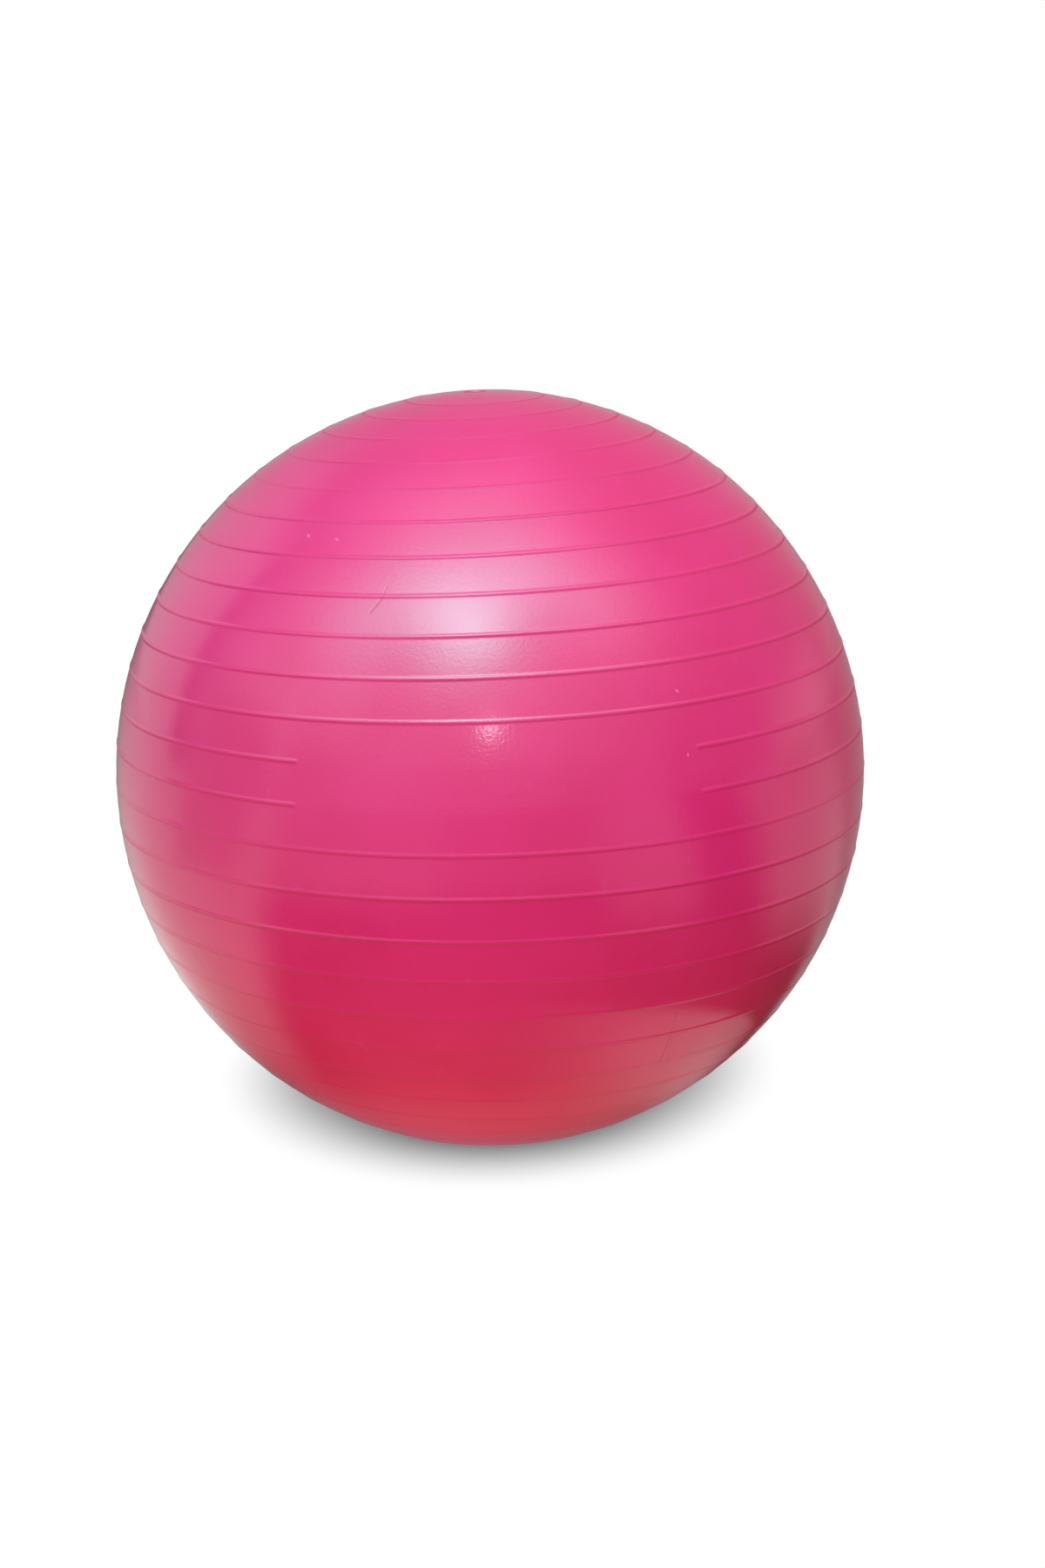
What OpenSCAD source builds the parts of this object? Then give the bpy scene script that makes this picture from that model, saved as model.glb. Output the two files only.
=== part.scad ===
// Inflatable exercise ball: a thin ringed skin, a valve seat bonded inside its upper pole, and a push-in air plug.
// All lengths are in millimetres. +Z points up through the valve; the blank label panel faces -Y; z = 0 is the floor.

/* [Ball] */
// outside diameter of the skin between the rings
ball_diameter = 650; // [450:10:850]
// thickness of the inflated skin
wall_thickness = 0.8; // [0.6:0.1:2]
// radius of the flat where the inflated ball rests on the floor
contact_radius = 30; // [15:1:45]

/* [Rings] */
// spacing of the raised rings, measured along the skin
ring_spacing = 34.8; // [25:0.1:60]
// width of a ring where it meets the skin
ring_width = 4.4; // [2:0.1:6]
// height of a ring above the skin
ring_height = 0.9; // [0.6:0.1:2]
// bare skin left between the floor and the lowest ring, and matched around the upper pole
cap_margin = 6; // [3:1:40]

/* [Label panel] */
// width of the smooth label panel, measured along the equator
panel_width = 331; // [200:1:420]
// number of rings that the panel interrupts, counted up from the one above the equator
panel_rings = 2; // [1:1:4]

/* [Valve] */
// diameter of the bore that holds the plug's stem
bore_diameter = 8; // [6:0.1:10]
// radial gap between the stem and the bore
plug_clearance = 0.05; // [0.02:0.01:0.1]
// depth of the dish that takes the plug's head
dish_depth = 2.4; // [2:0.1:4]
// width of the open ring between the plug's head and the dish wall
dish_gap = 1.4; // [1:0.1:4]
// length of the seat's boss inside the ball
seat_length = 12; // [8:0.5:18]
// thickness of the seat's wall around the bore
seat_wall = 4.5; // [3:0.1:7]
// thickness of the seat's bonding flange
flange_thickness = 1.6; // [1:0.1:3]

/* [Air plug] */
// diameter of the plug's flat head
head_diameter = 14; // [12:0.1:20]
// thickness of the plug's head
head_thickness = 1.6; // [1:0.1:1.9]
// length of the plug's stem below its head, nose included
stem_length = 22; // [16:0.5:30]
// length of the tapered nose
nose_length = 5; // [3:0.1:8]
// diameter of the nose at its tip
nose_tip_diameter = 5; // [3:0.1:6]
// number of grooves around the stem
groove_count = 3; // [1:1:4]
// width of each groove
groove_width = 1.8; // [1:0.1:2.4]
// depth of each groove
groove_depth = 0.6; // [0.2:0.1:1]

/* [Hidden] */
$fn = 180;
// facets of a ring's round section
ring_facets = 40;

// small overlap that lets one cutter pass right through another shape
overcut = 1;
// radial gap between the skin's own hole and the stem, so that the seat alone guides the plug
hole_relief = 0.5;
// outward lean of the dish wall
dish_lean = 0.8;
// extra radius of the thick pad of skin around the dish
pad_margin = 9;
// distance of the bonding flange's rim inside the pad's rim
flange_inset = 2;
// width and height of the chamfer around the top of the plug's head
head_chamfer = 0.5;
// step at the round tip of a broken ring, where it leaves the ring's own section
tip_step = 0.1;

ball_radius = ball_diameter / 2;
// height of the ball's centre above the floor, where the flat cuts the skin
centre_height = sqrt(pow(ball_radius, 2) - pow(contact_radius, 2));

// the ring's section is a circle that meets the skin at the ring's width and stands proud by its height
ring_radius = (pow(ring_width / 2, 2) + pow(ring_height, 2)) / (2 * ring_height);
ring_centre = ball_radius + ring_height - ring_radius;
ring_angle = ring_spacing / ball_radius * 180 / PI;
// distance from the axis within which a ring would reach below the floor
floor_reach = ball_radius * sqrt(1 - pow(centre_height / (ball_radius + ring_height), 2));
bare_cap_radius = floor_reach + cap_margin;
// rings on each side of the equator that stay clear of the bare caps
ring_rows = floor((90 - asin(bare_cap_radius / ball_radius)) / ring_angle);
panel_angle = panel_width / ball_radius * 180 / PI;

bore_radius = bore_diameter / 2;
stem_radius = bore_radius - plug_clearance;
head_radius = head_diameter / 2;
dish_radius = head_radius + dish_gap;
dish_floor = ball_radius - dish_depth;
pad_radius = dish_radius + dish_lean + pad_margin;
seat_top = dish_floor - wall_thickness;
seat_radius = bore_radius + seat_wall;
flange_radius = pad_radius - flange_inset;
// lengths of the stem that carry the grooves, spread evenly between the head and the nose
groove_pitch = (stem_length - nose_length) / (groove_count + 1);

// The ball's outside without its rings, as half a section right of the axis.
module skin_outline() {
    difference() {
        circle(r = ball_radius);
        translate([-ball_diameter, -ball_diameter]) square([ball_diameter, 2 * ball_diameter]);
        translate([-overcut, -ball_diameter]) square([ball_diameter, ball_diameter - centre_height]);
        polygon([
            [-overcut, dish_floor],
            [dish_radius, dish_floor],
            [dish_radius + dish_lean, ball_radius + overcut],
            [-overcut, ball_radius + overcut],
        ]);
    }
}

// The air space inside, as half a section: the skin is thickened into a flat pad under the dish.
module air_outline() {
    difference() {
        circle(r = ball_radius - wall_thickness);
        translate([-ball_diameter, -ball_diameter]) square([ball_diameter, 2 * ball_diameter]);
        translate([-overcut, -ball_diameter])
            square([ball_diameter, ball_diameter - centre_height + wall_thickness]);
        translate([-overcut, seat_top]) square([pad_radius + overcut, ball_radius]);
    }
}

// One ring's section at a latitude.
module ring_section(latitude) {
    translate([ring_centre * cos(latitude), ring_centre * sin(latitude)])
        circle(r = ring_radius, $fn = ring_facets);
}

// Is this row one that the label panel interrupts?
function on_panel(row) = row >= 1 && row <= panel_rings;

// A row that stops at both sides of the label panel, with rounded ends.
module broken_ring(latitude) {
    rotate([0, 0, panel_angle / 2 - 90])
        rotate_extrude(angle = 360 - panel_angle) ring_section(latitude);
    for (side = [-1, 1])
        rotate([0, 0, side * panel_angle / 2 - 90])
            translate([ring_centre * cos(latitude), 0, ring_centre * sin(latitude)])
                sphere(r = ring_radius - tip_step, $fn = ring_facets);
}

module ball_shell() {
    color([0.86, 0.16, 0.42])
    translate([0, 0, centre_height])
    difference() {
        union() {
            rotate_extrude() {
                skin_outline();
                for (row = [-ring_rows:ring_rows])
                    if (!on_panel(row)) ring_section(row * ring_angle);
            }
            for (row = [1:panel_rings]) broken_ring(row * ring_angle);
        }
        rotate_extrude() air_outline();
        translate([0, 0, seat_top - overcut])
            cylinder(r = bore_radius + hole_relief, h = wall_thickness + 2 * overcut);
    }
}

module valve_seat() {
    color([0.80, 0.14, 0.38])
    translate([0, 0, centre_height + seat_top])
    difference() {
        union() {
            translate([0, 0, -flange_thickness]) cylinder(r = flange_radius, h = flange_thickness);
            translate([0, 0, -seat_length]) cylinder(r = seat_radius, h = seat_length);
        }
        translate([0, 0, -seat_length - overcut])
            cylinder(r = bore_radius, h = seat_length + 2 * overcut);
    }
}

module air_plug() {
    color([0.84, 0.18, 0.42])
    translate([0, 0, centre_height + dish_floor]) {
        cylinder(r = head_radius, h = head_thickness - head_chamfer);
        translate([0, 0, head_thickness - head_chamfer])
            cylinder(r1 = head_radius, r2 = head_radius - head_chamfer, h = head_chamfer);
        difference() {
            translate([0, 0, nose_length - stem_length])
                cylinder(r = stem_radius, h = stem_length - nose_length);
            for (groove = [1:groove_count])
                translate([0, 0, -groove * groove_pitch - groove_width / 2])
                    difference() {
                        cylinder(r = stem_radius + overcut, h = groove_width);
                        translate([0, 0, -overcut])
                            cylinder(r = stem_radius - groove_depth, h = groove_width + 2 * overcut);
                    }
        }
        translate([0, 0, -stem_length])
            cylinder(r1 = nose_tip_diameter / 2, r2 = stem_radius, h = nose_length);
    }
}

ball_shell();
valve_seat();
air_plug();
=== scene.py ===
"""Looks of the exercise ball: a ringed PVC skin, its valve seat and the push-in air plug."""

import logging
import math
from dataclasses import dataclass, field
from enum import Enum

import bmesh
import bpy
from mathutils import Matrix, Vector, noise


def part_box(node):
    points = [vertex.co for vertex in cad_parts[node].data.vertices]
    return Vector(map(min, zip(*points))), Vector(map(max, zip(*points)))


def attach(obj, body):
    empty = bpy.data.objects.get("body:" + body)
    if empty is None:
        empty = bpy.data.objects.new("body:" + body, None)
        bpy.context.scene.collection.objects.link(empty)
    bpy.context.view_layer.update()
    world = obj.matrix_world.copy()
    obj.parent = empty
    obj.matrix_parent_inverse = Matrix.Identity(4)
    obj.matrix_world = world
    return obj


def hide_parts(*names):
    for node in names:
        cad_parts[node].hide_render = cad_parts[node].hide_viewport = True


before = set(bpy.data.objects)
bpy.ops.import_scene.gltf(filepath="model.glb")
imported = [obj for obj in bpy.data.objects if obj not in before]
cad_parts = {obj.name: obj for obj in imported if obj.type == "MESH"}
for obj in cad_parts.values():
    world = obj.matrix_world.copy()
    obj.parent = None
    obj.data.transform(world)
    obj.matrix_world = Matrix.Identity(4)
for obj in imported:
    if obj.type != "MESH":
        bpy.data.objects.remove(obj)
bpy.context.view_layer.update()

log = logging.getLogger("exercise_ball")

MM = 0.001

Colour = tuple[float, float, float, float]
Point = tuple[float, float]
Socket = bpy.types.NodeSocket


class Body(Enum):
    """The rigid bodies that pieces ride on."""

    BALL = "ball"
    PLUG = "plug"


class Slot(Enum):
    """The record's material slots."""

    SKIN = "skin_pvc"
    SEAT = "seat_pvc"
    PLUG = "plug_plastic"


# ---------------------------------------------------------------- shader maths


class Wire:
    """A shader number that takes part in Python expressions."""

    def __init__(self, graph: "Graph", socket: Socket) -> None:
        """Wraps a socket of a graph."""
        self.graph = graph
        self.socket = socket

    def _math(self, operation: str, *values: "Wire | float") -> "Wire":
        """Adds a Math node.

        Args:
            operation: the node's operation.
            values: its inputs in order.

        Returns:
            The node's result.
        """
        made = self.graph.node("ShaderNodeMath", {"operation": operation}, dict(enumerate(values)))
        return Wire(self.graph, made.outputs[0])

    def __add__(self, other: "Wire | float") -> "Wire":
        """self + other."""
        return self._math("ADD", self, other)

    __radd__ = __add__

    def __mul__(self, other: "Wire | float") -> "Wire":
        """self * other."""
        return self._math("MULTIPLY", self, other)

    __rmul__ = __mul__

    def __sub__(self, other: "Wire | float") -> "Wire":
        """self - other."""
        return self._math("SUBTRACT", self, other)

    def __rsub__(self, other: "Wire | float") -> "Wire":
        """other - self."""
        return self._math("SUBTRACT", other, self)

    def angle(self, other: "Wire") -> "Wire":
        """The angle in degrees whose sine goes with this value and whose cosine goes with the other."""
        return self._math("DEGREES", self._math("ARCTAN2", self, other))

    def root(self) -> "Wire":
        """The square root."""
        return self._math("SQRT", self)

    def exp(self) -> "Wire":
        """e to the power of the value."""
        return self._math("EXPONENT", self)

    def least(self, other: "Wire | float") -> "Wire":
        """The smaller of the two."""
        return self._math("MINIMUM", self, other)

    def most(self, other: "Wire | float") -> "Wire":
        """The larger of the two."""
        return self._math("MAXIMUM", self, other)

    def ramp(self, low: float, high: float) -> "Wire":
        """A smooth step from 0 at low to 1 at high.

        Args:
            low: the value that gives 0.
            high: the value that gives 1, which may be below low.

        Returns:
            The step.
        """
        settings = {"interpolation_type": "SMOOTHSTEP", "clamp": True}
        inputs = {"Value": self, "From Min": low, "From Max": high, "To Min": 0.0, "To Max": 1.0}
        made = self.graph.node("ShaderNodeMapRange", settings, inputs)
        return Wire(self.graph, made.outputs["Result"])


class Graph:
    """A node tree with one way to add a node."""

    def __init__(self, tree: bpy.types.NodeTree) -> None:
        """Starts on an emptied tree."""
        self.tree = tree
        tree.nodes.clear()

    def node(self, kind: str, settings: dict | None = None, inputs: dict | None = None) -> bpy.types.Node:
        """Adds a node.

        Args:
            kind: the node's type.
            settings: its properties, which are set first.
            inputs: socket names or numbers with a value, a Wire or a socket each.

        Returns:
            The node.
        """
        made = self.tree.nodes.new(kind)
        for name, value in (settings or {}).items():
            setattr(made, name, value)
        for name, value in (inputs or {}).items():
            socket = made.inputs[name]
            if isinstance(value, Wire):
                value = value.socket
            if isinstance(value, Socket):
                self.tree.links.new(value, socket)
            else:
                socket.default_value = value
        return made

    def place(self) -> Socket:
        """The point of the surface in the part's frame, in metres."""
        return self.node("ShaderNodeTexCoord").outputs["Object"]

    def grain(self, scale: float, detail: float) -> Wire:
        """Soft random values over the surface.

        Args:
            scale: spots in a metre.
            detail: how many finer layers there are.

        Returns:
            Values around 0.5.
        """
        inputs = {"Vector": self.place(), "Scale": scale, "Detail": detail}
        return Wire(self, self.node("ShaderNodeTexNoise", {}, inputs).outputs["Fac"])

    def mix(self, factor: Wire, first: Colour | Socket, second: Colour | Socket) -> Socket:
        """Blends two colours.

        Args:
            factor: 0 gives the first colour and 1 the second.
            first: a colour or a colour socket.
            second: a colour or a colour socket.

        Returns:
            The blended colour's socket.
        """
        made = self.node("ShaderNodeMix", {"data_type": "RGBA"}, {0: factor, 6: first, 7: second})
        return made.outputs[2]

    def vector(self, operation: str, *values: object) -> Socket:
        """Adds a Vector Math node and gives its vector.

        Args:
            operation: the node's operation.
            values: its inputs in order.

        Returns:
            The resulting vector's socket.
        """
        made = self.node("ShaderNodeVectorMath", {"operation": operation}, dict(enumerate(values)))
        return made.outputs["Vector"]

    def measure(self, operation: str, *values: object) -> Wire:
        """Adds a Vector Math node and gives its number.

        Args:
            operation: the node's operation, such as LENGTH or DOT_PRODUCT.
            values: its inputs in order.

        Returns:
            The resulting number.
        """
        made = self.node("ShaderNodeVectorMath", {"operation": operation}, dict(enumerate(values)))
        return Wire(self, made.outputs["Value"])

    def scaled(self, vector: object, size: Wire) -> Socket:
        """A vector or colour times a number."""
        made = self.node("ShaderNodeVectorMath", {"operation": "SCALE"}, {0: vector, "Scale": size})
        return made.outputs["Vector"]

    def parts(self, vector: Socket) -> tuple[Wire, Wire, Wire]:
        """The three numbers of a vector or colour."""
        made = self.node("ShaderNodeSeparateXYZ", {}, {0: vector})
        return Wire(self, made.outputs[0]), Wire(self, made.outputs[1]), Wire(self, made.outputs[2])

    def light(self, kind: str, seen: Colour | Socket, gloss: Socket, soft: Socket) -> Socket:
        """Gives off a light whose colour depends on the ray that finds it.

        Args:
            kind: the light shader's type, with a Color and a Strength.
            seen: the colour that the camera sees.
            gloss: the colour that reflections show.
            soft: the colour that falls on matt surfaces.

        Returns:
            The shader's socket.
        """
        rays = self.node("ShaderNodeLightPath")
        shader = self.node(kind, {}, {"Color": soft, "Strength": 1.0}).outputs[0]
        for ray, colour in (("Is Glossy Ray", gloss), ("Is Camera Ray", seen)):
            found = self.node(kind, {}, {"Color": colour, "Strength": 1.0}).outputs[0]
            mixed = self.node("ShaderNodeMixShader", {}, {0: rays.outputs[ray], 1: shader, 2: found})
            shader = mixed.outputs[0]
        return shader

    def near_line(self, start: Vector, end: Vector, width: float) -> Wire:
        """A soft mask along a straight mark.

        Args:
            start: where the mark starts, in the part's frame.
            end: where it ends.
            width: how far from its middle it fades out, in metres.

        Returns:
            1 on the line and 0 beyond its width.
        """
        run = end - start
        off = self.vector("SUBTRACT", self.place(), tuple(start))
        along = self.measure("DOT_PRODUCT", off, tuple(run / run.length_squared)).most(0.0).least(1.0)
        return self.measure("DISTANCE", off, self.scaled(tuple(run), along)).ramp(width, 0.0)


def new_material(name: str) -> tuple[bpy.types.Material, Graph]:
    """Makes a material with an emptied tree.

    Args:
        name: the material's name.

    Returns:
        The material, and the graph of its tree.
    """
    material = bpy.data.materials.new(name)
    material.use_nodes = True
    return material, Graph(material.node_tree)


# -------------------------------------------------------------------- finishes


@dataclass(frozen=True)
class Mark:
    """A crease or speck: a straight run on the skin.

    Attributes:
        start: its latitude and longitude, in degrees.
        end: the latitude and longitude where it ends.
        width: how far from its middle it fades out.
        depth: how deep it is pressed in, or below 0 how far it stands proud, as a share of the relief.
    """

    start: Point
    end: Point
    width: float
    depth: float


@dataclass(frozen=True)
class SkinFinish:
    """Glossy-satin PVC with a fine pebble, soft clouding, creases and specks, with painted shade under each
    ring and in pressed-in marks.

    Attributes:
        pink: the skin's main colour.
        deep: the colour that clouds it.
        pale: the colour that mottles it.
        crease_shade: the colour of the painted shade in the crease under each ring, and in pressed-in marks.
        fleck: the colour of specks that stand proud.
        crease_shade_share: how much of the painted crease shade shows.
        foot_dullness: what the crease adds to the roughness.
        unevenness: how much the clouds and the mottle change the roughness.
        pebble_relief: the height of the pebble, as a share of the bump.
        mottle_relief: the height of the mottle.
        mark_relief: the height of a mark of depth 1.
        mark_tint: how strongly a mark of depth 1 is coloured; pressed-in marks take the painted crease shade.
        marks: the creases and specks.
    """

    pink: Colour = (0.80, 0.028, 0.180, 1)
    deep: Colour = (0.76, 0.023, 0.155, 1)
    pale: Colour = (0.82, 0.050, 0.24, 1)
    crease_shade: Colour = (0.64, 0.012, 0.115, 1)
    fleck: Colour = (0.90, 0.17, 0.38, 1)
    crease_shade_share: float = 0.8
    foot_dullness: float = 0.5
    roughness: float = 0.12
    unevenness: float = 0.06
    ior: float = 1.5
    pebble_relief: float = 2.8
    mottle_relief: float = 0.3
    mark_relief: float = 8.0
    mark_tint: float = 3.0
    marks: tuple[Mark, ...] = (
        Mark((36.6, -18.6), (34.3, -20.3), 1.8 * MM, 0.4),
        Mark((36.8, -18.6), (38.4, -18.2), 1.2 * MM, 0.2),
        Mark((-25.9, 28.0), (-31.8, 28.4), 1.3 * MM, 0.25),
        Mark((-31.8, 28.4), (-36.5, 28.6), 1.5 * MM, 0.4),
        Mark((-32.2, 29.0), (-37.5, 30.6), 1.2 * MM, 0.2),
        Mark((-18.4, -57.0), (-21.9, -53.4), 1.8 * MM, 0.3),
        Mark((-17.2, -50.0), (-19.5, -47.5), 1.4 * MM, 0.2),
        Mark((46.5, -38.7), (46.2, -38.3), 1.6 * MM, -0.4),
        Mark((46.0, -31.4), (45.9, -31.0), 1.5 * MM, -0.4),
        Mark((20.4, 27.7), (20.2, 27.9), 1.4 * MM, -0.35),
        Mark((11.5, 27.7), (11.3, 27.7), 1.4 * MM, -0.3),
    )

    def material(self, ball: "BallSkin") -> bpy.types.Material:
        """Builds the material.

        Args:
            ball: the skin that it is for, whose surface places the marks.

        Returns:
            The material.
        """
        material, g = new_material(Slot.SKIN.value)
        cloud = g.grain(9.0, 3.0)
        mottle = g.grain(60.0, 3.0)
        pebble = g.grain(380.0, 3.0)
        # the mesh's mask of painted shade along the lower crease of each ring, which also dulls the roughness
        # there
        crease_shade = Wire(g, g.node("ShaderNodeAttribute", {"attribute_name": ball.crease_shade_layer}).outputs["Fac"])
        tint = g.mix(cloud.ramp(0.35, 0.7), self.pink, self.deep)
        tint = g.mix(mottle.ramp(0.62, 0.8) * 0.35, tint, self.pale)
        # painted shade: darkens the skin along the lower crease of each ring
        tint = g.mix(crease_shade * self.crease_shade_share, tint, self.crease_shade)
        rough = self.roughness + (cloud + mottle - 1.0) * self.unevenness + crease_shade * self.foot_dullness
        relief = pebble * self.pebble_relief + mottle * self.mottle_relief
        for mark in self.marks:
            line = g.near_line(ball.surface(*mark.start), ball.surface(*mark.end), mark.width)
            relief = relief - line * (mark.depth * self.mark_relief)
            # painted shade darkens pressed-in marks; proud specks take the pale fleck colour
            colour = self.crease_shade if mark.depth > 0 else self.fleck
            tint = g.mix((line * (abs(mark.depth) * self.mark_tint)).least(1.0), tint, colour)
        bump = g.node("ShaderNodeBump", {}, {"Strength": 0.35, "Distance": 0.12 * MM, "Height": relief})
        shader = g.node(
            "ShaderNodeBsdfPrincipled",
            {},
            {"Base Color": tint, "Roughness": rough, "IOR": self.ior, "Normal": bump.outputs[0]},
        )
        g.node("ShaderNodeOutputMaterial", {}, {"Surface": shader.outputs[0]})
        return material


@dataclass(frozen=True)
class PlasticFinish:
    """Moulded plastic or soft PVC with fine flow clouding.

    Attributes:
        name: the material's name.
        colour: its main colour.
        shade: the colour that clouds it.
        roughness: its middle roughness.
    """

    name: str
    colour: Colour
    shade: Colour
    roughness: float

    def material(self) -> bpy.types.Material:
        """Builds the material.

        Returns:
            The material.
        """
        material, g = new_material(self.name)
        cloud = g.grain(160.0, 3.0)
        grain = g.grain(2200.0, 2.0)
        bump = g.node("ShaderNodeBump", {}, {"Strength": 0.3, "Distance": 0.05 * MM, "Height": grain})
        shader = g.node(
            "ShaderNodeBsdfPrincipled",
            {},
            {
                "Base Color": g.mix(cloud.ramp(0.35, 0.7), self.colour, self.shade),
                "Roughness": self.roughness + (cloud - 0.5) * 0.15,
                "Normal": bump.outputs[0],
            },
        )
        g.node("ShaderNodeOutputMaterial", {}, {"Surface": shader.outputs[0]})
        return material


SEAT_FINISH = PlasticFinish(
    name=Slot.SEAT.value, colour=(0.66, 0.03, 0.13, 1), shade=(0.55, 0.02, 0.10, 1), roughness=0.5
)
PLUG_FINISH = PlasticFinish(
    name=Slot.PLUG.value, colour=(0.72, 0.030, 0.145, 1), shade=(0.62, 0.022, 0.115, 1), roughness=0.34
)


# ------------------------------------------------------------------ mesh helps


def finished_object(name: str, bm: bmesh.types.BMesh, material: bpy.types.Material) -> bpy.types.Object:
    """Turns a bmesh into a smooth-shaded object at the origin.

    Args:
        name: the object's name.
        bm: the mesh in the part's frame, which is freed.
        material: its only material.

    Returns:
        The object, linked to the scene.
    """
    bmesh.ops.recalc_face_normals(bm, faces=bm.faces)
    mesh = bpy.data.meshes.new(name)
    bm.to_mesh(mesh)
    bm.free()
    mesh.materials.append(material)
    mesh.polygons.foreach_set("use_smooth", [True] * len(mesh.polygons))
    made = bpy.data.objects.new(name, mesh)
    bpy.context.scene.collection.objects.link(made)
    return made


def chain(bm: bmesh.types.BMesh, points: list[Point]) -> list[bmesh.types.BMVert | bmesh.types.BMEdge]:
    """Draws an open outline in the half plane x >= 0, y = 0.

    Args:
        bm: the mesh to draw in.
        points: (radius, height) pairs.

    Returns:
        Its vertices and edges.
    """
    verts = [bm.verts.new((radius, 0.0, height)) for radius, height in points]
    edges = [bm.edges.new(pair) for pair in zip(verts, verts[1:])]
    return [*verts, *edges]


def arc(centre: Point, radius: float, start: float, end: float, steps: int) -> list[Point]:
    """Points along an arc in the half plane.

    Args:
        centre: the arc's centre as radius and height.
        radius: the arc's radius.
        start: its first angle in degrees.
        end: its last angle in degrees.
        steps: how many straight steps it has.

    Returns:
        The points, both ends included.
    """
    angles = (math.radians(start + (end - start) * i / steps) for i in range(steps + 1))
    return [(centre[0] + radius * math.cos(a), centre[1] + radius * math.sin(a)) for a in angles]


def smooth(value: float, low: float, high: float) -> float:
    """A smooth step from 0 at low to 1 at high."""
    t = min(max((value - low) / (high - low), 0.0), 1.0)
    return t * t * (3 - 2 * t)


def toward(azimuth: float, elevation: float) -> Vector:
    """The direction some degrees to the right of the label panel's and some degrees above the level."""
    a, e = math.radians(azimuth), math.radians(elevation)
    return Vector((math.sin(a) * math.cos(e), -math.cos(a) * math.cos(e), math.sin(e)))


# ---------------------------------------------------------------------- pieces


@dataclass
class BallSkin:
    """The inflated skin, with its rings, label panel, valve dish and the flat where it stands.

    Attributes:
        ring_rows: how many rings lie on each side of the one on the equator.
        panel_rows: the rings that the label panel interrupts, counted up from the equator.
        strong_rows: the rings that stand at full height.
        faint: the height of the other rings, as a share of it.
        ring_level: a ring's middle height, as a share of the full one.
        ring_wave: how much its height changes on its way round.
        wave_round: how quickly it changes there.
        wave_rows: how differently it changes from ring to ring.
        ring_power: how sharply a ring rises from the skin.
        tip_fade: the length over which a broken ring sinks into the skin.
        crease_shade_place: where the painted shade in a ring's lower crease lies, in half ring widths above
            its middle.
        crease_shade_spread: how wide that painted shade is, in half ring widths.
        girth: the ball's width as a share of its height.
        swell: how far the skin bulges and sinks between places.
        swell_scale: how many bulges there are in a radius.
        ring_lift: how many degrees inflation lifts the rings at the equator.
        ring_lift_reach: the degrees from the equator over which that fades.
        ring_lean: how steeply the rings' sideways lean grows away from the level one.
        level_latitude: the latitude at which the rings lie level.
        columns: the mesh's steps round the ball.
        tip_columns: the steps across the place where the broken rings end.
        tip_zone: the width of that place in degrees.
        crease_shade_layer: the mesh attribute that carries the painted crease shade to the finish.
        centre: the height of the ball's centre above the floor.
        ring_angle: the degrees between two rings.
        panel_half: half of the label panel's width in degrees.
    """

    radius: float = 325 * MM
    wall: float = 0.8 * MM
    contact_radius: float = 30 * MM
    ring_spacing: float = 34.8 * MM
    ring_width: float = 4.6 * MM
    ring_height: float = 0.55 * MM
    ring_rows: int = 13
    panel_width: float = 331 * MM
    panel_rows: tuple[int, ...] = (1, 2)
    dish_radius: float = 8.4 * MM
    dish_lean: float = 0.8 * MM
    dish_depth: float = 2.4 * MM
    hole_radius: float = 4.5 * MM
    pad_radius: float = 18.2 * MM
    strong_rows: tuple[int, ...] = (-2, -1, 1, 2, 3, 4, 5, 6, 7, 8)
    faint: float = 0.75
    ring_level: float = 0.85
    ring_wave: float = 0.45
    wave_round: float = 2.2
    wave_rows: float = 1.7
    ring_power: float = 1.4
    tip_fade: float = 2.6 * MM
    crease_shade_place: float = -0.6
    crease_shade_spread: float = 0.45
    girth: float = 0.989
    swell: float = 0.5 * MM
    swell_scale: float = 3.1
    ring_lift: float = 1.0
    ring_lift_reach: float = 27.0
    ring_lean: float = 0.91 / 30
    level_latitude: float = 28.0
    columns: int = 232
    tip_columns: int = 6
    tip_zone: float = 1.2
    crease_shade_layer: str = "ring_crease_shade"
    centre: float = field(init=False)
    ring_angle: float = field(init=False)
    panel_half: float = field(init=False)

    def __post_init__(self) -> None:
        """Works out what follows from the sizes."""
        self.centre = math.sqrt(self.radius**2 - self.contact_radius**2)
        self.ring_angle = math.degrees(self.ring_spacing / self.radius)
        self.panel_half = math.degrees(self.panel_width / self.radius) / 2

    def _crept(self, latitude: float, longitude: float) -> float:
        """Where inflation has carried a place of the evenly moulded skin.

        Args:
            latitude: degrees above the equator as moulded.
            longitude: degrees to the right of the label panel's middle.

        Returns:
            Its latitude on the inflated ball, in degrees.
        """
        lift = self.ring_lift * math.exp(-((latitude / self.ring_lift_reach) ** 2))
        lean = self.ring_lean * (latitude - self.level_latitude) * math.sin(math.radians(longitude))
        return latitude + (lift + lean) * (1 - smooth(abs(latitude), 60, 82))

    def surface(self, latitude: float, longitude: float) -> Vector:
        """The skin's surface at a place, given as moulded.

        Args:
            latitude: degrees above the equator.
            longitude: degrees to the right of the label panel's middle.

        Returns:
            The point in the part's frame.
        """
        out = toward(longitude, self._crept(latitude, longitude)) * self.radius
        return Vector((out.x * self.girth, out.y * self.girth, out.z + self.centre))

    def _rows(self) -> list[float]:
        """Places the mesh's rows, close together across each ring.

        Returns:
            Their latitudes in degrees, from the lowest up.
        """
        rows = []
        half = math.degrees(self.ring_width / 2 / self.radius)
        across = (-1.35, -1, -0.8, -0.55, -0.28, 0, 0.28, 0.55, 0.8, 1, 1.35)
        for row in range(-self.ring_rows, self.ring_rows + 1):
            middle = row * self.ring_angle
            rows += [middle + half * part for part in across]
            if row < self.ring_rows:
                rows.append(middle + self.ring_angle / 2)
        return rows

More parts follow.
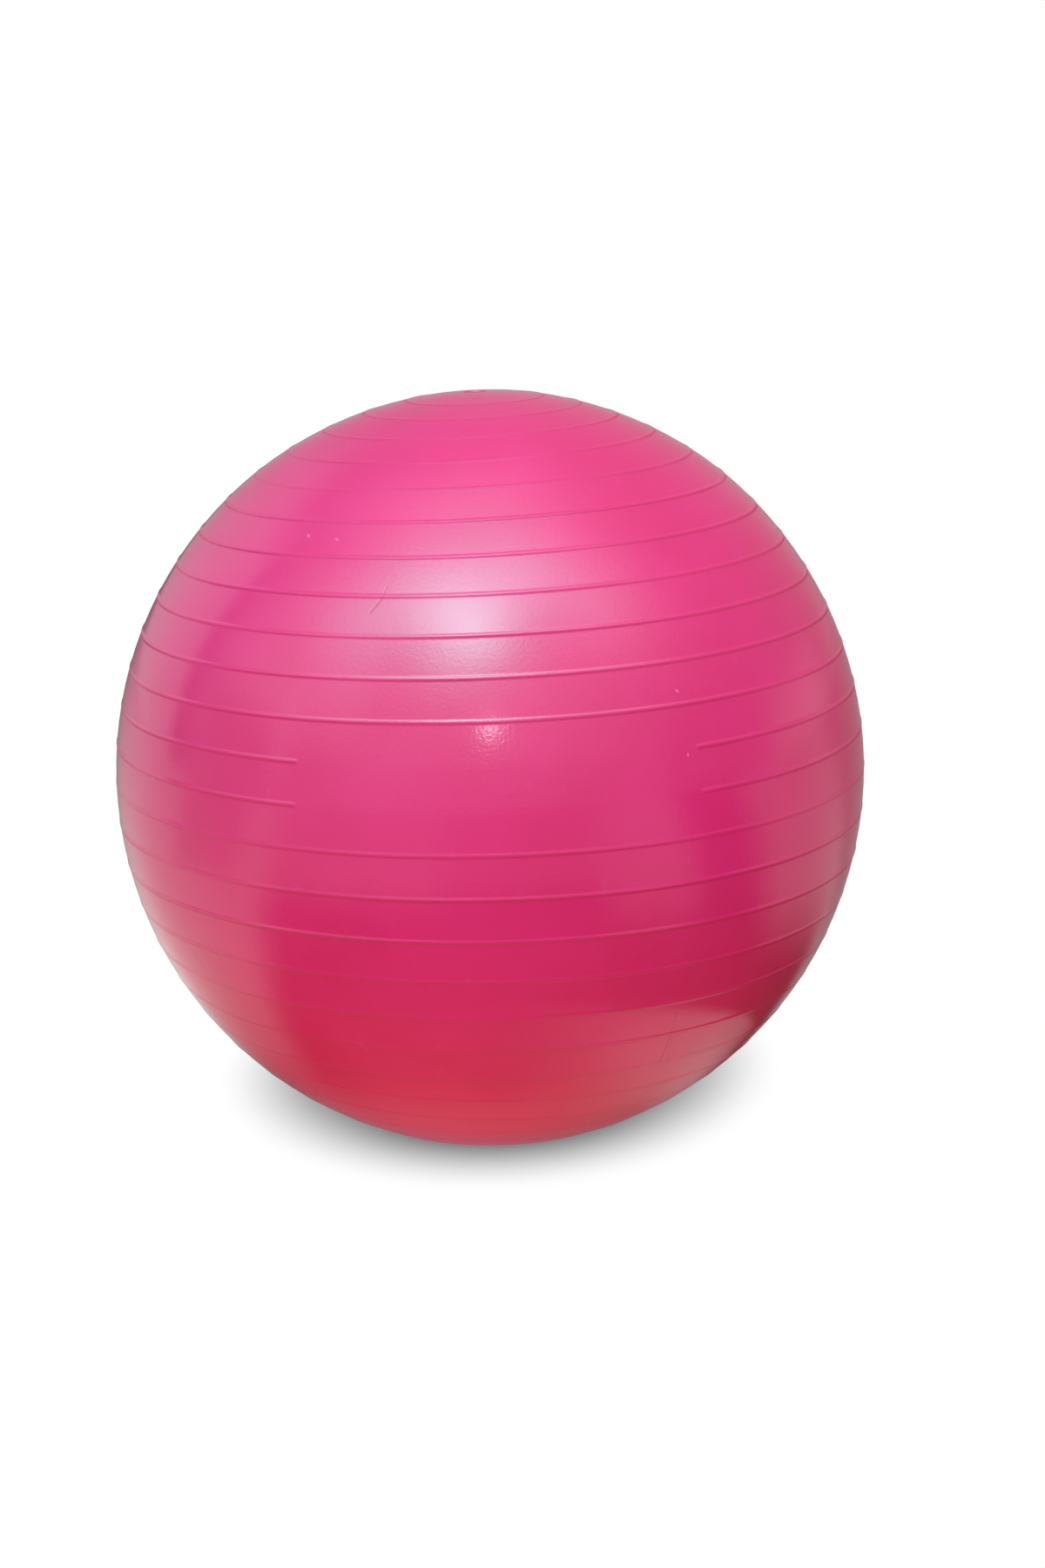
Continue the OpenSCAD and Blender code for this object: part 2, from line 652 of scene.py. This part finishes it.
    def _dish(self) -> list[Point]:
        """Draws the dish, from the rim of the valve's hole out to the rounded lip.

        Returns:
            (radius, height) pairs from the ball's centre.
        """
        r, rim = self.radius, self.dish_radius + self.dish_lean
        floor = r - self.dish_depth
        points = [(self.hole_radius, floor - self.wall), (self.hole_radius, floor - 0.15 * MM)]
        points += [(self.hole_radius + 0.15 * MM, floor), (self.dish_radius - 0.5 * MM, floor)]
        points += [(self.dish_radius, floor + 0.2 * MM), (self.dish_radius + 0.3 * MM, floor + 0.9 * MM)]
        return [*points, (rim - 0.1 * MM, r - 0.75 * MM), (rim + 0.15 * MM, r - 0.3 * MM)]

    def _outside(self) -> list[Point]:
        """Draws the outside from the dish down to the flat, without the rings' height.

        Returns:
            (radius, height) pairs from the ball's centre.
        """
        r, edge, rim = self.radius, self.contact_radius, self.dish_radius + self.dish_lean
        around_dish = (rim + 0.7 * MM, rim + 2 * MM, 15 * MM, 22 * MM, 32 * MM, 44 * MM)
        around_flat = (44 * MM, 37 * MM)
        latitudes = [math.degrees(math.acos(x / r)) for x in around_dish]
        latitudes += reversed(self._rows())
        latitudes += [-math.degrees(math.acos(x / r)) for x in around_flat]
        points = [(r * math.cos(math.radians(up)), r * math.sin(math.radians(up))) for up in latitudes]
        points += [(edge + 1.5 * MM, -math.sqrt(r**2 - (edge + 1.5 * MM) ** 2)), (edge, -self.centre)]
        return [*points, (edge - 2 * MM, -self.centre), (edge / 2, -self.centre), (0.0, -self.centre)]

    def _inside(self) -> list[Point]:
        """Draws the inside, from the flat up to the thick pad under the dish.

        Returns:
            (radius, height) pairs from the ball's centre.
        """
        inner, edge, floor = self.radius - self.wall, self.contact_radius, self.wall - self.centre
        low_end = -math.degrees(math.acos((edge + 1 * MM) / inner))
        high_end = math.degrees(math.acos(self.pad_radius / inner))
        rise = arc((0, 0), inner, low_end, high_end, 28)
        under_pad = (self.pad_radius, self.radius - self.dish_depth - self.wall)
        return [(0.0, floor), (edge - 2 * MM, floor), *rise, under_pad]

    def _spun(self) -> bmesh.types.BMesh:
        """Turns the section round the axis, in closer steps where the broken rings end.

        Returns:
            The skin around the origin, without its rings' height.
        """
        bm = bmesh.new()
        outline = [*self._dish(), *self._outside(), *self._inside()]
        geometry = chain(bm, [*outline, outline[0]])
        edge, half = self.panel_half, self.tip_zone / 2
        stops = [-edge - half, -edge + half, edge - half, edge + half, 360 - edge - half]
        bmesh.ops.rotate(bm, verts=bm.verts, matrix=Matrix.Rotation(math.radians(stops[0] - 90), 3, "Z"))
        for number, (start, end) in enumerate(zip(stops, stops[1:])):
            steps = self.tip_columns if number % 2 == 0 else round(self.columns * (end - start) / 360)
            turn = math.radians(end - start)
            made = bmesh.ops.spin(bm, geom=geometry, axis=(0, 0, 1), cent=(0, 0, 0), angle=turn, steps=steps)
            geometry = made["geom_last"]
        bmesh.ops.remove_doubles(bm, verts=bm.verts, dist=0.005 * MM)
        return bm

    def _ring(self, latitude: float, longitude: float) -> tuple[float, float]:
        """How far the rings lift the skin at a place, and how much painted shade it takes from a ring's lower
        crease.

        Args:
            latitude: degrees above the equator.
            longitude: degrees to the right of the panel's middle, from -180 to 180.

        Returns:
            The height in metres, and 0 to 1 for the painted crease shade.
        """
        row = round(latitude / self.ring_angle)
        if abs(row) > self.ring_rows:
            return 0.0, 0.0
        off = math.radians(latitude - row * self.ring_angle) * self.radius / (self.ring_width / 2)
        around = math.radians(longitude)
        wave = Vector((math.cos(around), math.sin(around), 0)) * self.wave_round
        spot = wave + Vector((0, 0, row * self.wave_rows))
        strength = self.ring_level + self.ring_wave * noise.noise(spot)
        if row not in self.strong_rows:
            strength *= self.faint
        if row in self.panel_rows:
            past_end = math.radians(abs(longitude) - self.panel_half) * self.radius
            strength *= smooth(past_end, 0.0, self.tip_fade)
        rise = self.ring_height * strength * max(1 - off * off, 0.0) ** self.ring_power
        # the second value is painted shade, strongest in the ring's lower crease
        return rise, strength * math.exp(-(((off - self.crease_shade_place) / self.crease_shade_spread) ** 2))

    def build(self, finish: SkinFinish) -> bpy.types.Object:
        """Builds and dresses the skin.

        Args:
            finish: its finish.

        Returns:
            The finished piece.
        """
        bm = self._spun()
        # a vertex layer for the painted shade under each ring
        crease_shades = bm.verts.layers.float.new(self.crease_shade_layer)
        outside, bare_caps = self.radius - 0.2 * MM, self.contact_radius + 5 * MM
        for vert in bm.verts:
            if vert.co.length > outside and math.hypot(vert.co.x, vert.co.y) > bare_caps:
                moulded = vert.co.normalized()
                latitude = math.degrees(math.asin(moulded.z))
                longitude = (math.degrees(math.atan2(moulded.y, moulded.x)) + 90 + 180) % 360 - 180
                rise, vert[crease_shades] = self._ring(latitude, longitude)
                height = vert.co.length + rise + noise.noise(moulded * self.swell_scale) * self.swell
                vert.co = toward(longitude, self._crept(latitude, longitude)) * height
        bmesh.ops.scale(bm, vec=(self.girth, self.girth, 1), verts=bm.verts)
        bmesh.ops.translate(bm, vec=(0, 0, self.centre), verts=bm.verts)
        piece = finished_object("ringed_skin", bm, finish.material(self))
        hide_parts("ball_shell")
        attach(piece, Body.BALL.value)
        return piece


@dataclass
class ValveSeat:
    """The bushing under the dish, whose solid is shown as it is."""

    node: str = "valve_seat"

    def dress(self, finish: PlasticFinish) -> bpy.types.Object:
        """Gives the solid its finish.

        Args:
            finish: its finish.

        Returns:
            The solid.
        """
        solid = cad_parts[self.node]
        solid.data.materials.clear()
        solid.data.materials.append(finish.material())
        return solid


@dataclass
class AirPlug:
    """The push-in plug: a round-edged head with a shallow thumb dimple, a ringed stem and a blunt nose."""

    head_radius: float = 7 * MM
    head_thickness: float = 1.6 * MM
    edge_round: float = 0.5 * MM
    dimple_radius: float = 3.6 * MM
    dimple_depth: float = 0.35 * MM
    stem_radius: float = 3.95 * MM
    stem_length: float = 22 * MM
    nose_length: float = 5 * MM
    nose_radius: float = 2.5 * MM
    groove_count: int = 3
    groove_width: float = 1.8 * MM
    groove_depth: float = 0.6 * MM
    columns: int = 72

    def _outline(self) -> list[Point]:
        """Draws the section, from the middle of the head down to the middle of the nose.

        Returns:
            (radius, height) pairs, with the underside of the head at height 0.
        """
        top, edge = self.head_thickness, self.edge_round
        points = [(0.0, top - self.dimple_depth), (self.dimple_radius * 0.7, top - self.dimple_depth * 0.8)]
        points += [(self.dimple_radius, top - self.dimple_depth * 0.15), (self.dimple_radius + 0.3 * MM, top)]
        points += arc((self.head_radius - edge, top - edge), edge, 90, 0, 5)
        points += arc((self.head_radius - 0.25 * MM, 0.25 * MM), 0.25 * MM, 0, -90, 3)
        points += [(self.stem_radius + 0.2 * MM, 0.0), (self.stem_radius, -0.2 * MM)]
        pitch = (self.stem_length - self.nose_length) / (self.groove_count + 1)
        half, low = self.groove_width / 2, self.stem_radius - self.groove_depth
        wall = [(self.stem_radius, half + 0.25 * MM), (self.stem_radius - 0.1 * MM, half)]
        wall += [(low + 0.12 * MM, half - 0.2 * MM), (low, half - 0.45 * MM)]
        for groove in range(1, self.groove_count + 1):
            middle = -groove * pitch
            points += [(radius, middle + up) for radius, up in wall]
            points += [(radius, middle - up) for radius, up in reversed(wall)]
        nose = self.nose_length - self.stem_length
        points += [(self.stem_radius, nose + 0.3 * MM), (self.stem_radius - 0.08 * MM, nose - 0.3 * MM)]
        points += arc((self.nose_radius - 0.6 * MM, 0.6 * MM - self.stem_length), 0.6 * MM, 0, -90, 4)
        points.append((0.0, -self.stem_length))
        return points

    def build(self, finish: PlasticFinish) -> bpy.types.Object:
        """Builds and dresses the plug.

        Args:
            finish: its finish.

        Returns:
            The finished piece.
        """
        head_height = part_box("air_plug")[0][2] + self.stem_length
        bm = bmesh.new()
        bmesh.ops.spin(
            bm,
            geom=chain(bm, self._outline()),
            axis=(0, 0, 1),
            cent=(0, 0, 0),
            angle=math.tau,
            steps=self.columns,
            use_merge=True,
        )
        bmesh.ops.remove_doubles(bm, verts=bm.verts, dist=0.002 * MM)
        bmesh.ops.translate(bm, vec=(0, 0, head_height), verts=bm.verts)
        piece = finished_object("push_in_plug", bm, finish.material())
        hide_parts("air_plug")
        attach(piece, Body.PLUG.value)
        return piece


# ---------------------------------------------------------------------- studio


@dataclass(frozen=True)
class Glow:
    """A soft round light, seen from the ball's centre.

    Attributes:
        azimuth: degrees to the right of the label panel's direction.
        elevation: degrees above the level.
        spread: how many degrees from its middle it fades to about a third.
        strength: how bright its middle is.
    """

    azimuth: float
    elevation: float
    spread: float
    strength: float

    def light(self, g: Graph, direction: Socket) -> Wire:
        """Builds its brightness.

        Args:
            g: the node tree.
            direction: the unit direction from the ball's centre.

        Returns:
            How strongly it shines from there.
        """
        facing = g.measure("DOT_PRODUCT", direction, tuple(toward(self.azimuth, self.elevation)))
        return ((facing - 1.0) * (2 / math.radians(self.spread) ** 2)).exp() * self.strength


@dataclass(frozen=True)
class Panel:
    """A soft-edged pale panel, or a dark one where its strength is below 0, seen from the ball's centre.

    Attributes:
        azimuths: degrees to the right of the label panel at which it starts, is full, is still full and ends.
        elevations: the same in degrees above the level.
        strength: how bright it is.
        lean: how many degrees it sinks for each degree to the right.
    """

    azimuths: tuple[float, float, float, float]
    elevations: tuple[float, float, float, float]
    strength: float
    lean: float = 0.0

    def light(self, azimuth: Wire, elevation: Wire) -> Wire:
        """Builds its brightness.

        Args:
            azimuth: the direction's degrees to the right of the label panel's.
            elevation: its degrees above the level.

        Returns:
            How strongly it shines from there.
        """
        a, e = self.azimuths, self.elevations
        level = elevation + azimuth * self.lean
        across = azimuth.ramp(a[0], a[1]) * azimuth.ramp(a[3], a[2])
        return across * level.ramp(e[0], e[1]) * level.ramp(e[3], e[2]) * self.strength


@dataclass(frozen=True)
class Reflections:
    """What half of the room looks like in the ball's gloss, laid out around the ball's centre.

    Attributes:
        base: how bright it is where no glow or panel is.
        glows: its round lights.
        panels: its panels.
        plain: the colour of what is dim.
        cool: the colour of what is bright.
    """

    base: float
    glows: tuple[Glow, ...]
    panels: tuple[Panel, ...]
    plain: Colour = (1, 0.98, 0.98, 1)
    cool: Colour = (0.24, 1.04, 0.98, 1)

    def colour(self, g: Graph, direction: Socket) -> Socket:
        """Builds the light that a glossy ray finds.

        Args:
            g: the node tree.
            direction: the unit direction from the ball's centre.

        Returns:
            The light's colour.
        """
        x, y, z = g.parts(direction)
        azimuth = x.angle(0.0 - y)
        elevation = z.angle((x * x + y * y).root())
        total = self.base
        for glow in self.glows:
            total = total + glow.light(g, direction)
        for panel in self.panels:
            total = total + panel.light(azimuth, elevation)
        return g.scaled(g.mix(total.ramp(1.0, 5.0), self.plain, self.cool), total.most(0.0))


ROOM = Reflections(
    base=0.40,
    glows=(
        # the main lamp above the front, its lower edge and the haze round it
        Glow(-11, 56, 14, 8.6),
        Glow(-4, 49, 8, 3.4),
        Glow(-14, 42, 10, 1.2),
        Glow(-10, 58, 38, 3.0),
        # weaker lamps to its left and right
        Glow(-36, 62, 13, 3.0),
        Glow(-56, 50, 13, 2.2),
        Glow(26, 66, 13, 2.6),
        Glow(56, 52, 13, 1.7),
        # the bright ceiling, and the haze round the small low lamp
        Glow(-10, 86, 20, 1.3),
        Glow(-1, 23, 6, 0.9),
    ),
    panels=(
        # the pale walls at the left, from the back to the front
        Panel((-172, -122, -115, -113), (-90, -80, 32, 50), 0.72),
        Panel((-112, -100, -40, -10), (-90, -80, 22, 45), 0.30),
        Panel((-110, -80, -50, -36), (10, 26, 44, 60), 0.80),
        Panel((-72, -70, -65, -63), (2, 8, 20, 28), 0.45),
        # the pale wall at the right, and a dark gap in front of it
        Panel((88, 100, 113, 134), (-90, -80, 2, 14), 0.52),
        Panel((44, 60, 80, 96), (-90, -80, 12, 26), -0.16),
    ),
)

GROUND = Reflections(
    base=0.05,
    glows=(),
    panels=(
        # the floor further out, in unevenly lit stretches from the back left by the front to the back right
        Panel((-175, -118, -72, -56), (-60, -27, 0, 1), 1.00),
        Panel((-106, -96, -80, -72), (-19, -14, 0, 1), -0.34),
        Panel((-76, -60, -20, -8), (-24, -14, 0, 1), 0.66),
        Panel((-20, -8, 20, 34), (-22, -14, 0, 1), 0.42),
        Panel((20, 34, 46, 58), (-30, -16, 0, 1), 0.66),
        Panel((66, 84, 104, 126), (-38, -20, 0, 1), 0.66),
        Panel((104, 118, 180, 181), (-60, -44, 0, 1), 0.27),
        # the near floor, with a sharp-edged bright patch at the right
        Panel((-10, 48, 56, 106), (-62, -42, -38.5, -36.5), 0.76, lean=0.105),
        Panel((-60, -10, 30, 60), (-70, -56, -46, -34), 0.12),
        Panel((-181, -180, 180, 181), (-90, -89, -62, -50), 0.12),
    ),
)


@dataclass(frozen=True)
class Softness:
    """The soft light that falls on matt surfaces, as a colour that changes evenly with direction.

    Attributes:
        level: its colour where nothing is added.
        rightward: what is added towards the right of someone who faces the label panel.
        frontward: what is added towards the label panel's side.
        upward: what is added towards the top.
        fill: a white glow that is added.
        strongest: the most of any colour, as a share of the red.
        weakest: the least of any colour, as a share of the red.
        dimmest: the least red.
    """

    level: tuple[float, float, float]
    rightward: tuple[float, float, float]
    frontward: tuple[float, float, float]
    upward: tuple[float, float, float]
    fill: Glow
    strongest: float = 1.8
    weakest: float = 0.2
    dimmest: float = 0.01

    def colour(self, g: Graph, direction: Socket) -> Socket:
        """Builds the light that a matt surface finds.

        Args:
            g: the node tree.
            direction: the unit direction from the ball's centre.

        Returns:
            The light's colour.
        """
        backward = tuple(-share for share in self.frontward)
        total: object = self.level
        for part, slope in zip(g.parts(direction), (self.rightward, backward, self.upward)):
            total = g.vector("MULTIPLY_ADD", part.socket, slope, total)
        red = g.parts(total)[0].most(self.dimmest)
        total = g.vector("MINIMUM", total, (red * self.strongest).socket)
        total = g.vector("MAXIMUM", total, (red * self.weakest).socket)
        return g.vector("ADD", total, self.fill.light(g, direction).socket)


DAYLIGHT = Softness(
    level=(0.19, 0.19, -2.05),
    rightward=(0.20, 0.20, -0.40),
    frontward=(0.75, 0.75, 2.80),
    upward=(1.23, 1.22, 4.50),
    fill=Glow(179, 4, 22, 3.4),
)
BOUNCE = Softness(
    level=(-0.27, -0.28, -1.45),
    rightward=(-0.38, -0.38, -0.48),
    frontward=(0.55, 0.50, -0.27),
    upward=(-1.02, -1.00, -2.30),
    fill=Glow(179, -28, 18, 1.6),
)


@dataclass
class Studio:
    """A pale floor, soft light all round, a small low lamp and the camera.

    Attributes:
        target: the ball's centre, which the lamp and the camera face.
        ball_radius: the ball's radius.
        distance: the camera's distance from the target, in ball radii.
        azimuth: the camera's degrees to the right of the label panel's direction.
        elevation: the camera's degrees above the level.
        roll: the camera's turn about its own line of sight, in degrees.
        lens: the camera's focal length in millimetres.
        sensor: the width of the camera's sensor in millimetres.
        shift: the camera's sideways and upward shift.
        floor_radius: the radius of the floor.
        shade_back: how far behind the ball the middle of its shade lies.
        shade_reach: how far the shade reaches sideways and backwards.
        shade_edge: the shares of that reach at which the shade starts and is full.
        shade_depth: how dark the shade is.
        touch_reach: how far the darker shade round the contact reaches.
        touch_edge: the shares of that reach at which it starts and is full.
        touch_depth: how much darker it is.
        lamp_place: the low lamp's azimuth and elevation in degrees.
        lamp_distance: the low lamp's distance from the target.
        lamp_width: the low lamp's width.
        lamp_power: the low lamp's power in watts.
    """

    target: Vector
    ball_radius: float
    distance: float = 7.478
    azimuth: float = -1.2
    elevation: float = 13.07
    roll: float = 2.34
    lens: float = 64.34
    sensor: float = 36.0
    shift: Point = (0.0207, -0.01056)
    floor_radius: float = 14.0
    shade_back: float = 0.16
    shade_reach: Point = (0.24, 0.30)
    shade_edge: Point = (1.12, 0.62)
    shade_depth: float = 0.78
    touch_reach: float = 0.16
    touch_edge: Point = (1.0, 0.15)
    touch_depth: float = 0.14
    lamp_place: Point = (-1.2, 22.8)
    lamp_distance: float = 2.6
    lamp_width: float = 0.02
    lamp_power: float = 1.1

    def _shade(self, g: Graph) -> Wire:
        """Builds the soft shade that the ball leaves on the floor.

        Args:
            g: the floor's node tree.

        Returns:
            0 where the floor is bright and 1 where it would be black.
        """
        wide, deep = self.shade_reach
        behind = g.vector("SUBTRACT", g.place(), (0, self.shade_back, 0))
        away = g.measure("LENGTH", g.vector("MULTIPLY", behind, (1 / wide, 1 / deep, 0)))
        shade = away.ramp(*self.shade_edge) * self.shade_depth
        away = g.measure("LENGTH", g.place()) * (1 / self.touch_reach)
        return shade + away.ramp(*self.touch_edge) * self.touch_depth

    def floor(self) -> bpy.types.Object:
        """Lays a wide floor: white with a soft shade where it is seen, and a light from below elsewhere.

        Returns:
            The floor.
        """
        bm = bmesh.new()
        bmesh.ops.create_circle(bm, cap_ends=True, radius=self.floor_radius, segments=96)
        material, g = new_material("studio_floor")
        seen = g.mix(self._shade(g), (1, 1, 1, 1), (0, 0, 0, 1))
        direction = g.vector("NORMALIZE", g.vector("SUBTRACT", g.place(), tuple(self.target)))
        gloss, soft = GROUND.colour(g, direction), BOUNCE.colour(g, direction)
        light = g.light("ShaderNodeEmission", seen, gloss, soft)
        g.node("ShaderNodeOutputMaterial", {}, {"Surface": light})
        floor = finished_object("studio_floor", bm, material)
        return floor

    def surround(self) -> None:
        """Sets the surround: white where it is seen, the room in gloss, and soft daylight elsewhere."""
        world = bpy.data.worlds.new("surround")
        bpy.context.scene.world = world
        world.use_nodes = True
        g = Graph(world.node_tree)
        direction = g.node("ShaderNodeTexCoord").outputs["Generated"]
        gloss, soft = ROOM.colour(g, direction), DAYLIGHT.colour(g, direction)
        light = g.light("ShaderNodeBackground", (1, 1, 1, 1), gloss, soft)
        g.node("ShaderNodeOutputWorld", {}, {"Surface": light})

    def low_lamp(self) -> bpy.types.Object:
        """Hangs a small lamp in front, which leaves a spark on the skin.

        Returns:
            The lamp.
        """
        data = bpy.data.lights.new("low_lamp", "AREA")
        data.shape, data.size = "SQUARE", self.lamp_width
        data.energy = self.lamp_power
        lamp = bpy.data.objects.new("low_lamp", data)
        bpy.context.scene.collection.objects.link(lamp)
        away = toward(*self.lamp_place)
        lamp.location = self.target + away * self.lamp_distance
        lamp.rotation_euler = away.to_track_quat("Z", "Y").to_euler()
        return lamp

    def camera(self) -> bpy.types.Object:
        """Sets the camera in front of the label panel, a little above the ball's equator.

        Returns:
            The camera.
        """
        data = bpy.data.cameras.new("camera")
        data.lens, data.sensor_width = self.lens, self.sensor
        data.shift_x, data.shift_y = self.shift
        camera = bpy.data.objects.new("camera", data)
        bpy.context.scene.collection.objects.link(camera)
        away = toward(self.azimuth, self.elevation)
        camera.location = self.target + away * (self.distance * self.ball_radius)
        turn = Matrix.Rotation(math.radians(-self.roll), 3, "Z").to_quaternion()
        camera.rotation_mode = "QUATERNION"
        camera.rotation_quaternion = away.to_track_quat("Z", "Y") @ turn
        bpy.context.scene.camera = camera
        return camera

    def build(self) -> None:
        """Sets up the whole studio."""
        bpy.context.scene.view_settings.view_transform = "Standard"
        self.floor()
        self.surround()
        self.low_lamp()
        self.camera()


def main() -> None:
    """Builds the ball from the skin inwards, then the studio round it."""
    logging.basicConfig(level=logging.INFO, format="%(name)s: %(message)s")
    skin = BallSkin()
    skin.build(SkinFinish())
    ValveSeat().dress(SEAT_FINISH)
    AirPlug().build(PLUG_FINISH)
    Studio(target=Vector((0, 0, skin.centre)), ball_radius=skin.radius).build()


if __name__ == "__main__":
    main()
